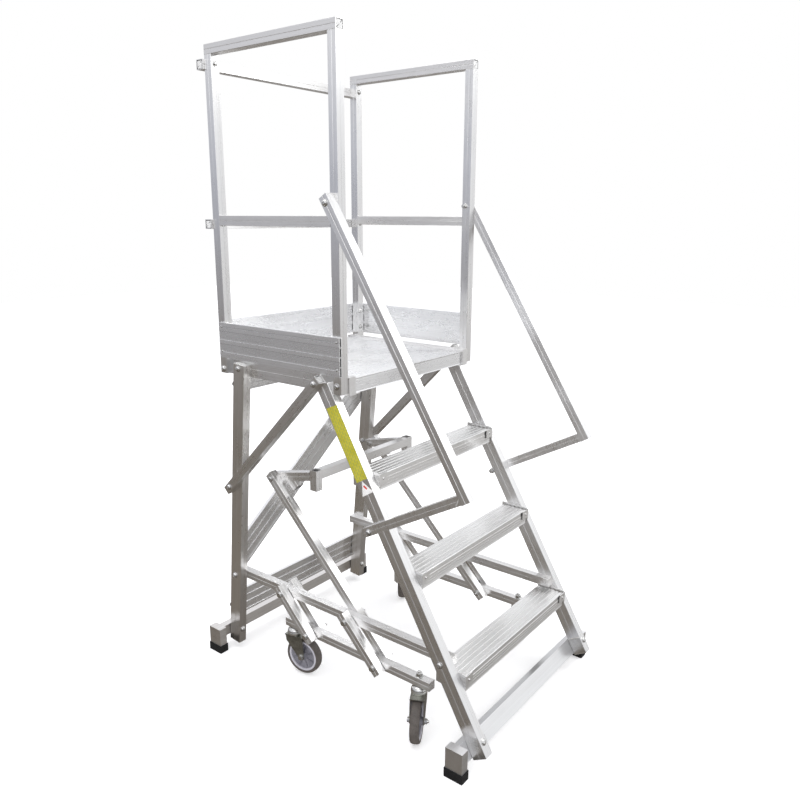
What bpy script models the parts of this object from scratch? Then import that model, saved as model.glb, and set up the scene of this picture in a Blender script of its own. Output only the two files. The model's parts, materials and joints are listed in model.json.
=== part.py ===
"""Mobile aluminium work platform: stair side, guarded deck and a lever-lowered castor carriage.

Units are metres and Z is up.  X runs across the platform and the stair faces -Y.  Y below is
measured from the middle of the four feet; the last step moves the origin to the middle of the
whole outline, on the floor.  Each object is one manufactured piece, or one weldment.
"""
import math

import bmesh
import bpy
from mathutils import Matrix, Vector

# ---------------------------------------------------------------- driving dimensions
GAP = 0.0003            # running and assembly clearance between neighbouring pieces
WALL = 0.0022           # wall of every drawn tube
CHAMFER = 0.0009        # edge break of the drawn tubes
GROOVE = (0.0016, 0.0006)       # width and depth of the line down the middle of each tube face

DECK_TOP = 1.220        # four risers of 305 mm
RISE = 0.305
DECK_THICK = 0.051
DECK_FRONT, DECK_REAR = -0.0704, 0.5395
PLANK_COUNT = 3

X_IN = (0.3270, 0.3587)         # side beams, base rails and castor rails
X_FRAME = (0.3590, 0.3940)      # posts, stringers and legs
X_LEVER = (0.2945, 0.3262)      # long levers and inner links
X_LINK = (0.3605, 0.3925)       # outer links
X_HANDLE = (0.2622, 0.2942)     # arms of the lever handle
X_OUT = 0.3943                  # inner face of everything bolted outside the frame
X_FOOT = (0.4263, 0.4599)       # foot blocks

POST_FRONT = (-0.0730, -0.0380)
POST_REAR = (0.5040, 0.5390)
POST_BASE, POST_HEAD = 1.173, 2.2837
RAIL = 0.033                    # guard rail section
MID_RAIL_Z = 1.7145
REAR_TOP_RAIL_Z = 2.2376
REAR_MID_RAIL_Z = 1.7020
REAR_RAIL_ENDS = (-0.402, 0.396)

TOE_BOARD = (0.1305, 0.0140)    # height and thickness
TOE_BOARD_Z = 1.2355
TOE_BOARD_Y = {"left": (-0.0790, 0.5210), "right": (-0.0620, 0.5380)}
REAR_BOARD_HALF = 0.381         # the boards across the back stop short of the legs' outer faces
REAR_BOARD = (0.1120, 0.0140)

STAIR_PITCH = math.radians(59.68)
STRINGER_FRONT_Y = -0.7159      # where the front face of the stringer meets the floor plane
STRINGER = 0.0555               # depth of the stringer section
STRINGER_FOOT_Z, STRINGER_TOP_Z = 0.0768, 1.222
TREAD_DEPTH, TREAD_THICK, TREAD_NOSE = 0.108, 0.055, 0.022
TREAD_HALF = 0.350

LEG_SPLAY = 0.0925              # run per unit of rise of the rear leg
LEG_REAR_Y = 0.5788             # where the rear face of the leg meets the floor plane
LEG = 0.0582                    # horizontal depth of the leg section
LEG_FOOT_Z, LEG_TOP_Z = 0.034, 1.214

BRACE = 0.0325
BRACE_LOW, BRACE_HIGH = (0.4888, 0.7326), (0.0243, 1.2031)

HANDRAIL = 0.035
HANDRAIL_TOP, HANDRAIL_LOW = (-0.0380, 1.8090), (-0.5905, 0.9300)
STRUT_START, STRUT_END = (-0.5673, 0.9361), (-0.1960, 0.7305)

BASE_RAIL_Z = (0.3205, 0.3530)
BASE_RAIL_Y = (-0.5060, 0.5450)
CASTOR_RAIL_Z = (0.1895, 0.2225)
CASTOR_RAIL_Y = (-0.4200, 0.2720)

LINK_PIVOTS = (0.262, -0.067)   # Y of the upper pivots, rear and front
LINK_TOP_Z, LINK_LOW_Z = 0.337, 0.206
LINK_END = 0.030                # tube past each pivot centre
LINK_DEPTH = 0.0345
LEVER_TOP = (0.378, 0.782)
ARM_SLOPE = 0.2197              # the handle arms rise this much per unit of forward run
ARM_TOP = (0.1728, 0.8250)      # a point on the top face of the arm
ARM_DEPTH = 0.0335
ARM_REAR_Y = 0.385
STUB_Y, STUB_Z = (0.1500, 0.1835), (0.7525, 0.8310)

FRONT_FOOT_Y = (-0.6220, -0.5565)
REAR_FOOT_Y = (0.5567, 0.6220)
FOOT_TOP_Z = (0.1070, 0.1045)
RUBBER = 0.0025                 # rubber wall outside the foot block
RUBBER_TOP, RUBBER_SOLE = 0.0320, 0.0060

WHEEL_R, WHEEL_W, AXLE_Z = 0.0750, 0.0330, 0.0785
CASTOR_TRAIL = 0.0430
CASTOR_X = 0.343
CASTOR_Y = {"front": -0.367, "rear": 0.238}
# heading of the trail of each castor, degrees from +X
CASTOR_HEADING = {"front_left": 208, "rear_left": 280, "front_right": 28, "rear_right": 30}

SIDES = {"left": -1, "right": 1}


# ---------------------------------------------------------------- materials
FINISHES = {
    "aluminium": ((0.72, 0.72, 0.71, 1), 1.0, 0.36),
    "plank": ((0.78, 0.78, 0.78, 1), 1.0, 0.40),
    "zinc": ((0.62, 0.64, 0.66, 1), 1.0, 0.30),
    "rubber": ((0.035, 0.035, 0.037, 1), 0.0, 0.70),
    "tyre": ((0.10, 0.105, 0.11, 1), 0.0, 0.55),
}


def material(name, finish):
    colour, metallic, roughness = FINISHES[finish]
    mat = bpy.data.materials.new(name + "_" + finish)
    mat.use_nodes = True
    shader = mat.node_tree.nodes["Principled BSDF"]
    shader.inputs["Base Color"].default_value = colour
    shader.inputs["Metallic"].default_value = metallic
    shader.inputs["Roughness"].default_value = roughness
    return mat


# ---------------------------------------------------------------- mesh helpers
def piece(name, verts, faces, finish="aluminium"):
    mesh = bpy.data.meshes.new(name)
    mesh.from_pydata([tuple(v) for v in verts], [], faces)
    work = bmesh.new()
    work.from_mesh(mesh)
    bmesh.ops.recalc_face_normals(work, faces=work.faces)
    work.to_mesh(mesh)
    work.free()
    mesh.materials.append(material(name, finish))
    ob = bpy.data.objects.new(name, mesh)
    bpy.context.scene.collection.objects.link(ob)
    return ob


def frame_of(start, end, up):
    """Unit vectors along, across and up for a member running from start to end."""
    along = (Vector(end) - Vector(start)).normalized()
    up = Vector(up)
    up = (up - along * up.dot(along)).normalized()
    return along, along.cross(up), up


def sweep(name, outline, start, end, up, finish="aluminium"):
    """Solid bar: outline points are (across, up), swept straight from start to end."""
    along, across, up = frame_of(start, end, up)
    count = len(outline)
    verts = [Vector(p) + across * a + up * b for p in (start, end) for a, b in outline]
    faces = [tuple(range(count)), tuple(range(2 * count - 1, count - 1, -1))]
    for i in range(count):
        j = (i + 1) % count
        faces.append((i, j, j + count, i + count))
    return piece(name, verts, faces, finish)


def tube_outline(width, depth, inset, plain):
    """Section of a tube wall: broken corners, and a shallow groove down the middle of each face."""
    w, d = width / 2 - inset, depth / 2 - inset
    corners = [Vector(c) for c in ((w, -d), (w, d), (-w, d), (-w, -d))]
    points = []
    for a, b in zip(corners, corners[1:] + corners[:1]):
        run = (b - a).normalized()
        middle = (a + b) / 2
        points.append(a + run * CHAMFER)
        if not plain:
            sunk = Vector((-run.y, run.x)) * (0 if inset else GROOVE[1])
            half = run * GROOVE[0] / 2
            points += [middle - half, middle + sunk, middle + half]
        points.append(b - run * CHAMFER)
    return points


def tube(name, start, end, up, width, depth, wall=WALL, capped=False, plain=False,
         finish="aluminium"):
    """Square tube with open ends; capped closes the end it runs to."""
    start, end = Vector(start), Vector(end)
    along, across, up = frame_of(start, end, up)
    inner_end = end - along * wall if capped else end
    verts = []
    for point, inset in ((start, 0.0), (end, 0.0), (inner_end, wall), (start, wall)):
        for a, b in tube_outline(width, depth, inset, plain):
            verts.append(point + across * a + up * b)
    count = len(verts) // 4
    faces = []
    for ring in (0, 2, 3) if capped else (0, 1, 2, 3):
        for i in range(count):
            j = (i + 1) % count
            a, b = ring * count, (ring + 1) % 4 * count
            faces.append((a + i, a + j, b + j, b + i))
    if capped:
        faces += [tuple(range(count, 2 * count)), tuple(range(2 * count, 3 * count))]
    return piece(name, verts, faces, finish)


def box(name, xs, ys, zs, finish="aluminium"):
    """Solid block between the given limits."""
    outline = [(xs[0], zs[0]), (xs[1], zs[0]), (xs[1], zs[1]), (xs[0], zs[1])]
    return sweep(name, outline, (0, ys[0], 0), (0, ys[1], 0), (0, 0, 1), finish)


def plate(name, outline, x0, x1, finish="aluminium"):
    """Flat plate in the side plane: outline points are (Y, Z), thickness from x0 to x1."""
    verts = [(x, y, z) for x in (x0, x1) for y, z in outline]
    count = len(outline)
    faces = [tuple(range(count)), tuple(range(2 * count - 1, count - 1, -1))]
    for i in range(count):
        j = (i + 1) % count
        faces.append((i, j, j + count, i + count))
    return piece(name, verts, faces, finish)


def disc(name, centre, axis, radius, half, finish="zinc", segments=32):
    axis = Vector(axis).normalized()
    side = axis.orthogonal().normalized()
    other = axis.cross(side)
    ring = [side * math.cos(t) * radius + other * math.sin(t) * radius
            for t in (2 * math.pi * i / segments for i in range(segments))]
    verts = [Vector(centre) + axis * s * half + r for s in (-1, 1) for r in ring]
    faces = [tuple(range(segments)), tuple(range(2 * segments - 1, segments - 1, -1))]
    for i in range(segments):
        j = (i + 1) % segments
        faces.append((i, j, j + segments, i + segments))
    return piece(name, verts, faces, finish)


def combine(base, tools, operation):
    """Join the tools to the base, or cut them away, and leave one plain mesh."""
    for tool in tools:
        step = base.modifiers.new(operation.lower(), "BOOLEAN")
        step.operation, step.solver, step.object = operation, "EXACT", tool
    bpy.context.view_layer.update()
    graph = bpy.context.evaluated_depsgraph_get()
    mesh = bpy.data.meshes.new_from_object(base.evaluated_get(graph))
    finish = base.data.materials[0]
    base.modifiers.clear()
    base.data = mesh
    mesh.materials.clear()
    mesh.materials.append(finish)
    for poly in mesh.polygons:
        poly.material_index = 0
    for tool in tools:
        bpy.data.objects.remove(tool)
    return base


def weld(base, *parts):
    return combine(base, parts, "UNION")


def cut(base, *tools):
    return combine(base, tools, "DIFFERENCE")


def ribbed(a, b, count, height, share=0.5):
    """Points from a to b with ribs standing proud on the right-hand side of travel."""
    a, b = Vector(a), Vector(b)
    pitch = (b - a) / count
    out = Vector((pitch.y, -pitch.x)).normalized() * height
    slope = pitch.normalized() * height * 0.35
    points = [a]
    for i in range(count):
        near = a + pitch * (i + (1 - share) / 2)
        far = a + pitch * (i + (1 + share) / 2)
        points += [near, near + slope + out, far - slope + out, far]
    points.append(b)
    return [tuple(p) for p in points]


# ---------------------------------------------------------------- extrusion outlines
def deck_outline(width, nose_lines):
    """Deck plank, open below: ribbed tread skin on two webs with turned-in lips."""
    skin, web, lip, low = 0.0032, 0.0028, 0.014, -DECK_THICK
    ribs = 0.0010
    top = -ribs
    front = [(0, low)]
    outline = [(web + lip, low), (web + lip, low + web), (web, low + web), (web, top - skin),
               (width - web, top - skin), (width - web, low + web),
               (width - web - lip, low + web), (width - web - lip, low), (width, low)]
    outline += ribbed((width, top), (0, top), 17, ribs, 0.55)
    if nose_lines:
        front = ribbed((0.0012, top - 0.004), (0.0012, low + 0.004), 4, 0.0012, 0.7) + [(0, low)]
    return outline + front


def board_outline(height, thickness):
    """Plank on edge: proud bands with fine ribs between them outside, plain ridges inside."""
    proud, fine, inner, slope = 0.0025, 0.0008, 0.0020, 0.0006
    face = thickness - proud
    unit = height / 0.1305
    # (bottom, top) of each proud band on the outer face, then of each ridge on the inner face
    bands = [(z0 * unit, z1 * unit) for z0, z1 in
             ((0.0085, 0.0215), (0.0535, 0.0665), (0.1005, 0.1125), (0.1175, 0.1305))]
    ridges = [(z0 * unit, z1 * unit) for z0, z1 in
              ((0.0000, 0.0090), (0.0400, 0.0500), (0.0800, 0.0900), (0.1210, 0.1305))]
    outline = [(0, 0)]
    for (_, z0), (z1, _) in zip(ridges, ridges[1:]):
        outline += [(0, z0), (inner, z0 + slope), (inner, z1 - slope), (0, z1)]
    outline += [(0, height), (thickness, height)]
    for (z1, _), (_, z0) in zip(bands[:0:-1], bands[-2::-1]):
        outline += [(thickness, z1), (face, z1 - slope)]
        if z1 - z0 > 0.012:
            outline += ribbed((face, z1 - 0.002), (face, z0 + 0.004), 5, -fine)
        outline += [(face, z0 + slope), (thickness, z0)]
    z0 = bands[0][0]
    return outline + [(thickness, z0), (face, z0 - slope), (face, 0)]


def tread_outline(depth, thick):
    """Stair tread, open below: broad grip ridges on top and fine lines on the nose."""
    skin, web, lip, ridge = 0.0030, 0.0028, 0.012, 0.0022
    top = -ridge
    outline = [(web + lip, -thick), (web + lip, web - thick), (web, web - thick), (web, top - skin),
               (depth - web, top - skin), (depth - web, web - thick),
               (depth - web - lip, web - thick), (depth - web - lip, -thick), (depth, -thick)]
    outline += ribbed((depth, top), (0.012, top), 5, ridge, 0.6)
    outline += [(0.010, 0.0), (0.003, 0.0), (0.0012, -0.002)]
    outline += ribbed((0.0012, -0.016), (0.0012, -thick + 0.006), 3, 0.0012, 0.7)
    outline += [(0, -thick)]
    return outline


def hollow_board(name, size, start, end, up, flip):
    """Plank extrusion with an open bore; flip turns the ribbed face to the other side."""
    height, thickness = size
    outline = [(flip * a, b) for a, b in board_outline(height, thickness)]
    ob = sweep(name, outline, start, end, up, "plank")
    along, across, up = frame_of(start, end, up)
    skin, proud, inner = 0.0020, 0.0025, 0.0020
    middle = across * flip * (thickness - proud + inner) / 2 + up * height / 2
    reach = along * 0.5
    bore = []
    for a in (-1, 1):
        for b in (-1, 1):
            bore.append((a * ((thickness - proud - inner) / 2 - skin), b * (height / 2 - skin)))
    bore = [bore[0], bore[2], bore[3], bore[1]]
    tool = sweep("bore", bore, Vector(start) + middle - reach, Vector(end) + middle + reach, up)
    return cut(ob, tool)


# ---------------------------------------------------------------- lines of the sloping members
SIN, COS = math.sin(STAIR_PITCH), math.cos(STAIR_PITCH)


def stair_front(z):
    """Y of the front face of the stringers at height z."""
    return STRINGER_FRONT_Y + z * COS / SIN


def leg_rear(z):
    return LEG_REAR_Y - LEG_SPLAY * z


def side(sign, xs):
    """Low and high X of a member on one side."""
    return tuple(sorted((sign * xs[0], sign * xs[1])))


def mid(pair):
    return (pair[0] + pair[1]) / 2


# ---------------------------------------------------------------- deck
def build_deck():
    span = (DECK_REAR - DECK_FRONT) / PLANK_COUNT
    for i, name in enumerate(("front", "middle", "rear")):
        y = DECK_FRONT + i * span
        outline = deck_outline(span - 2 * GAP, i == 0)
        sweep("deck_plank_" + name, outline, (0.3264, y, DECK_TOP), (-0.3264, y, DECK_TOP),
              (0, 0, 1), "plank")
    for name, s in SIDES.items():
        lo, hi = side(s, X_IN)
        beam = tube("side_beam_" + name, (mid((lo, hi)), DECK_REAR, 1.1965),
                    (mid((lo, hi)), -0.078, 1.1965), (0, 0, 1), hi - lo, 0.063, 0.003, True)
        lip = box("lip", side(s, (0.300, 0.340)), (-0.074, DECK_REAR), (1.1652, 1.1687))
        weld(beam, lip)


# ---------------------------------------------------------------- guard rails
def build_guard_rails():
    for name, s in SIDES.items():
        lo, hi = side(s, X_FRAME)
        x = mid((lo, hi))
        for end, ys in (("front", POST_FRONT), ("rear", POST_REAR)):
            tube("post_" + end + "_" + name, (x, mid(ys), POST_BASE), (x, mid(ys), POST_HEAD),
                 (0, 1, 0), hi - lo, ys[1] - ys[0])
        z = POST_HEAD + GAP + RAIL / 2
        tube("top_rail_" + name, (x, POST_FRONT[0], z), (x, POST_REAR[1], z), (0, 0, 1),
             hi - lo, RAIL)
        z = MID_RAIL_Z + RAIL / 2
        tube("mid_rail_" + name, (x, POST_FRONT[1] + GAP, z), (x, POST_REAR[0] - GAP, z),
             (0, 0, 1), hi - lo, RAIL + 0.002)
    y = POST_REAR[1] + GAP + RAIL / 2
    for name, z in (("top", REAR_TOP_RAIL_Z), ("mid", REAR_MID_RAIL_Z)):
        tube("rear_" + name + "_rail", (REAR_RAIL_ENDS[0], y, z + 0.0165),
             (REAR_RAIL_ENDS[1], y, z + 0.0165), (0, 0, 1), RAIL, 0.0330)


def build_toe_boards():
    for name, s in SIDES.items():
        start, end = ((s * X_OUT, y, TOE_BOARD_Z) for y in TOE_BOARD_Y[name])
        hollow_board("toe_board_" + name, TOE_BOARD, start, end, (0, 0, 1), s)
    hollow_board("toe_board_rear", TOE_BOARD,
                 (-REAR_BOARD_HALF, POST_REAR[1] + GAP, TOE_BOARD_Z),
                 (REAR_BOARD_HALF, POST_REAR[1] + GAP, TOE_BOARD_Z), (0, 0, 1), -1)


# ---------------------------------------------------------------- stair
def build_stringers():
    normal = Vector((0, SIN, -COS))
    for name, s in SIDES.items():
        lo, hi = side(s, X_FRAME)
        axis = Vector((mid((lo, hi)), STRINGER_FRONT_Y, 0)) + normal * STRINGER / 2
        run = Vector((0, COS, SIN))
        foot = axis + run * (STRINGER_FOOT_Z / SIN)
        head = axis + run * ((STRINGER_TOP_Z - 0.0145) / SIN)
        tube("stringer_" + name, foot, head, normal, hi - lo, STRINGER)


def build_treads():
    for name, steps in (("upper", 3), ("middle", 2), ("lower", 1)):
        top = RISE * steps
        nose = stair_front(top) - TREAD_NOSE
        outline = tread_outline(TREAD_DEPTH, TREAD_THICK)
        tread = sweep("tread_" + name, outline, (TREAD_HALF, nose, top),
                      (-TREAD_HALF, nose, top), (0, 0, 1), "plank")
        brackets = []
        for s in (-1, 1):
            rear = nose + TREAD_DEPTH
            cheek = [(nose - 0.0055, top + 0.004), (nose + 0.012, top + 0.008),
                     (rear + 0.004, top + 0.008), (rear + 0.004, top - 0.058),
                     (nose + 0.030, top - 0.066), (nose - 0.0055, top - 0.040)]
            brackets.append(plate("cheek", cheek, *side(s, (0.3552, 0.3587))))
            brackets.append(box("flange", side(s, (0.3180, 0.3570)),
                                (nose - 0.0055, nose - 0.0022), (top - 0.032, top + 0.002)))
            brackets.append(box("shelf", side(s, (0.3300, 0.3570)), (nose + 0.010, rear - 0.004),
                                (top - 0.0578, top - 0.0545)))
        weld(tread, *brackets)


def build_handrails():
    rise = (Vector(HANDRAIL_TOP) - Vector(HANDRAIL_LOW)).normalized()
    for name, s in SIDES.items():
        x = s * (X_OUT + HANDRAIL / 2)
        rail = tube("handrail_" + name, (x, *HANDRAIL_LOW), (x, *HANDRAIL_TOP),
                    (0, rise.y, -rise.x), HANDRAIL, HANDRAIL)
        x = s * (X_OUT + 0.016)
        strut = tube("strut", (x, *STRUT_START), (x, *STRUT_END), (0, 0, 1), 0.032, 0.032)
        weld(rail, strut)


# ---------------------------------------------------------------- feet, legs and bracing
def foot_block(name, s, ys, top):
    """Upright block of the foot, open below."""
    lo, hi = side(s, X_FOOT)
    bottom = RUBBER_SOLE + GAP
    return tube(name, (mid((lo, hi)), mid(ys), bottom), (mid((lo, hi)), mid(ys), top),
                (0, 1, 0), hi - lo, ys[1] - ys[0], 0.003, True, True)


def build_feet():
    reach = X_FOOT[0] + 0.002
    normal, run = Vector((0, SIN, -COS)), Vector((0, COS, SIN))
    corner = Vector((0, -0.6194, 0.0550)) + normal * 0.0008
    skin = 0.003
    channel = [(0, 0), (0.060, 0), (0.060, 0.035), (0.060 - skin, 0.035), (0.060 - skin, skin),
               (skin, skin), (skin, 0.035), (0, 0.035)]
    front = sweep("front_foot_beam", channel, corner - Vector((reach, 0, 0)),
                  corner + Vector((reach, 0, 0)), normal)
    rear_channel = [(0.5745, 0.055), (0.5745 + skin, 0.055), (0.5745 + skin, 0.100 - skin),
                    (0.606 - skin, 0.100 - skin), (0.606 - skin, 0.055), (0.606, 0.055),
                    (0.606, 0.100), (0.5745, 0.100)]
    rear = plate("rear_foot_beam", rear_channel, -reach, reach)
    for beam, ys, top, end in ((front, FRONT_FOOT_Y, FOOT_TOP_Z[0], "front"),
                               (rear, REAR_FOOT_Y, FOOT_TOP_Z[1], "rear")):
        weld(beam, *(foot_block("block", s, ys, top) for s in (-1, 1)))
        for name, s in SIDES.items():
            lo, hi = side(s, X_FOOT)
            grow = RUBBER + GAP
            tube("rubber_foot_" + end + "_" + name, (mid((lo, hi)), mid(ys), RUBBER_TOP),
                 (mid((lo, hi)), mid(ys), 0), (0, 1, 0), hi - lo + 2 * grow,
                 ys[1] - ys[0] + 2 * grow, RUBBER, True, True, "rubber")


def build_legs():
    for name, s in SIDES.items():
        lo, hi = side(s, X_FRAME)
        foot = Vector((mid((lo, hi)), leg_rear(LEG_FOOT_Z) - LEG / 2, LEG_FOOT_Z))
        head = Vector((mid((lo, hi)), leg_rear(LEG_TOP_Z) - LEG / 2, LEG_TOP_Z))
        tube("rear_leg_" + name, foot, head, (0, 1, 0), hi - lo, LEG * 0.9957)


def build_braces():
    low, high = Vector(BRACE_LOW), Vector(BRACE_HIGH)
    run = (high - low).normalized()
    start, end = low - run * 0.028, high + run * 0.024
    for name, s in SIDES.items():
        x = s * (X_OUT + 0.016)
        tube("side_brace_" + name, (x, *start), (x, *end), (0, run.y, -run.x), 0.032, BRACE)


def build_rear_boards():
    """Boards across the back of the rear legs, and the diagonal between them."""
    lean = Vector((0, -LEG_SPLAY, 1)).normalized()
    back = Vector((0, 1, LEG_SPLAY)).normalized()

    def on_legs(x, z):
        return Vector((x, leg_rear(z), z)) + back * GAP * 2

    for name, size, z in (("low", REAR_BOARD, 0.1250), ("top", (0.0620, 0.0140), 1.1010)):
        hollow_board("rear_board_" + name, size, on_legs(-REAR_BOARD_HALF, z),
                     on_legs(REAR_BOARD_HALF, z), lean, -1)
    low, high = on_legs(-0.352, 0.312), on_legs(0.394, 0.949)
    run = (high - low).normalized()
    diagonal = hollow_board("rear_diagonal", REAR_BOARD, low - run * 0.1, high + run * 0.1,
                            back.cross(run) * -1, -1)
    cut(diagonal, *(box("trim", side(s, (REAR_BOARD_HALF, 0.6)), (0.3, 0.8), (0, 1.4))
                    for s in (-1, 1)))


# ---------------------------------------------------------------- castor carriage
def pivot(index, low=False):
    reach = LINK_TOP_Z - LINK_LOW_Z
    if low:
        return Vector((LINK_PIVOTS[index] - reach, LINK_LOW_Z))
    return Vector((LINK_PIVOTS[index], LINK_TOP_Z))


def link(name, index, xs):
    """Parallelogram link between a base rail and a castor rail."""
    high, low = pivot(index), pivot(index, True)
    run = (high - low).normalized()
    start, end = low - run * LINK_END, high + run * LINK_END
    x = mid(xs)
    return tube(name, (x, *start), (x, *end), (0, -run.y, run.x), xs[1] - xs[0], LINK_DEPTH)


def build_rails():
    for name, s in SIDES.items():
        lo, hi = side(s, X_IN)
        for kind, ys, zs in (("base_rail_", BASE_RAIL_Y, BASE_RAIL_Z),
                             ("castor_rail_", CASTOR_RAIL_Y, CASTOR_RAIL_Z)):
            tube(kind + name, (mid((lo, hi)), ys[1], mid(zs)), (mid((lo, hi)), ys[0], mid(zs)),
                 (0, 0, 1), hi - lo, zs[1] - zs[0], capped=True)


def build_links():
    for name, s in SIDES.items():
        link("outer_link_rear_" + name, 0, side(s, X_LINK))
        link("outer_link_front_" + name, 1, side(s, X_LINK))
        link("inner_link_" + name, 0, side(s, X_LEVER))
        xs = side(s, X_LEVER)
        low, high = pivot(1, True), Vector(LEVER_TOP)
        run = (high - low).normalized()
        start = low - run * LINK_END
        tube("long_lever_" + name, (mid(xs), *start), (mid(xs), *high), (0, -run.y, run.x),
             xs[1] - xs[0], LINK_DEPTH)


def arm_z(y):
    """Height of the handle arm's centre line at y."""
    return ARM_TOP[1] + (ARM_TOP[0] - y) * ARM_SLOPE - ARM_DEPTH / 2 * 1.024


def build_handle():
    lo, hi = side(1, X_HANDLE)
    width = hi - lo
    z = STUB_Z[1] - ARM_DEPTH / 2 - 0.002
    bar = [(STUB_Y[0], z - 0.0165), (STUB_Y[0], z + 0.0165), (STUB_Y[1], z + 0.0165),
           (STUB_Y[1], z - 0.0165), (STUB_Y[1] - WALL, z - 0.0165), (STUB_Y[1] - WALL, z + 0.0143),
           (STUB_Y[0] + WALL, z + 0.0143), (STUB_Y[0] + WALL, z - 0.0165)]
    handle = plate("lever_handle", bar, -lo - 0.001, lo + 0.001)
    parts = []
    for s in (-1, 1):
        x = s * mid((lo, hi))
        parts.append(tube("stub", (x, mid(STUB_Y), STUB_Z[0]), (x, mid(STUB_Y), STUB_Z[1]),
                          (0, 1, 0), width, STUB_Y[1] - STUB_Y[0]))
        y = STUB_Y[1] - 0.001
        parts.append(tube("arm", (x, y, arm_z(y)), (x, ARM_REAR_Y, arm_z(ARM_REAR_Y)),
                          (0, 0, 1), width, ARM_DEPTH))
        parts.append(tube("gusset", (x, 0.2607, 0.7407), (x, 0.2935, 0.7735),
                          (0, -1, 1), width - 0.0004, 0.0345))
    weld(handle, *parts)


# ---------------------------------------------------------------- castors
def castor_axes(name):
    heading = math.radians(CASTOR_HEADING[name])
    trail = Vector((math.cos(heading), math.sin(heading), 0))
    return trail, Vector((-trail.y, trail.x, 0))


def place(ob, matrix):
    ob.data.transform(matrix)
    return ob


def build_castor(end, name, s):
    trail, axle = castor_axes(end + "_" + name)
    stem = Vector((s * CASTOR_X, CASTOR_Y[end], 0))
    hub = stem + trail * CASTOR_TRAIL + Vector((0, 0, AXLE_Z))
    crown_z = 0.1575
    half = WHEEL_W / 2 + 0.0060
    sheet = 0.0030
    base = disc("castor_fork_" + end + "_" + name, stem + Vector((0, 0, crown_z + 0.0065)),
                (0, 0, 1), 0.0280, 0.0040)
    parts = [disc("race", stem + Vector((0, 0, crown_z + 0.0135)), (0, 0, 1), 0.0265, 0.0040),
             disc("cap", stem + Vector((0, 0, crown_z + 0.0200)), (0, 0, 1), 0.0215, 0.0050),
             disc("stud", stem + Vector((0, 0, 0.1800)), (0, 0, 1), 0.0090, 0.0091, segments=20)]
    to_world = Matrix((trail, axle, (0, 0, 1))).transposed().to_4x4()
    to_world.translation = stem
    crown = box("crown", (-0.0305, 0.0490), (-half - sheet - 0.0006, half + sheet + 0.0006),
                (crown_z, crown_z + 0.0040), "zinc")
    parts.append(place(crown, to_world))
    for c in (-1, 1):
        arc = [(CASTOR_TRAIL + 0.0135 * math.sin(t), AXLE_Z - 0.0135 * math.cos(t))
               for t in (math.radians(a) for a in range(-75, 76, 25))]
        cheek = [(0.0480, crown_z + 0.002), (-0.0280, crown_z + 0.002),
                 (-0.0240, crown_z - 0.022)] + arc + [(0.0520, crown_z - 0.020)]
        inner, outer = c * half, c * (half + sheet)
        verts = [(x, y, z) for y in (inner, outer) for x, z in cheek]
        count = len(cheek)
        faces = [tuple(range(count)), tuple(range(2 * count - 1, count - 1, -1))]
        faces += [(i, (i + 1) % count, (i + 1) % count + count, i + count) for i in range(count)]
        parts.append(place(piece("cheek", verts, faces, "zinc"), to_world))
    parts.append(disc("axle", hub, axle, 0.0055, half + sheet + 0.0035, segments=20))
    weld(base, *parts)

    profile = [(0.0060, 0.0215), (0.0140, 0.0215), (0.0170, 0.0120), (0.0520, 0.0105),
               (0.0550, 0.0150), (0.0600, 0.0158), (0.0690, 0.0165), (0.0728, 0.0135),
               (0.0750, 0.0060)]
    profile += [(r, -w) for r, w in reversed(profile)]
    segments = 48
    up = Vector((0, 0, 1))
    verts, faces = [], []
    for i in range(segments):
        t = 2 * math.pi * i / segments
        spoke = trail * math.cos(t) + up * math.sin(t)
        verts += [hub + spoke * r + axle * w for r, w in profile]
    count = len(profile)
    for i in range(segments):
        k = (i + 1) % segments
        for j in range(count):
            m = (j + 1) % count
            faces.append((i * count + j, i * count + m, k * count + m, k * count + j))
    piece("castor_wheel_" + end + "_" + name, verts, faces, "tyre")


# ---------------------------------------------------------------- assembly
for old in list(bpy.data.objects):
    bpy.data.objects.remove(old)

build_deck()
build_guard_rails()
build_toe_boards()
build_stringers()
build_treads()
build_handrails()
build_feet()
build_legs()
build_braces()
build_rear_boards()
build_rails()
build_links()
build_handle()
for end in ("front", "rear"):
    for name, s in SIDES.items():
        build_castor(end, name, s)

# the origin goes to the middle of the outline on the floor
ys = [v.co.y for ob in bpy.data.objects for v in ob.data.vertices]
for ob in bpy.data.objects:
    ob.data.transform(Matrix.Translation((0, -(min(ys) + max(ys)) / 2, 0)))
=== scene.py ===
"""Looks of the mobile aluminium work platform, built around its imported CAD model.

Units are metres, in the frame of the CAD: Z up, +X across the platform, stair towards -Y.
The CAD nodes keep their shapes and get procedural metals.  This script adds what is fixed to
them: bolts, nuts, weld beads, end plugs, castor wheels and bearings, brackets and plain labels.
"""

import json
import math

import bmesh
import bpy
from mathutils import Matrix, Vector


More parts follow.
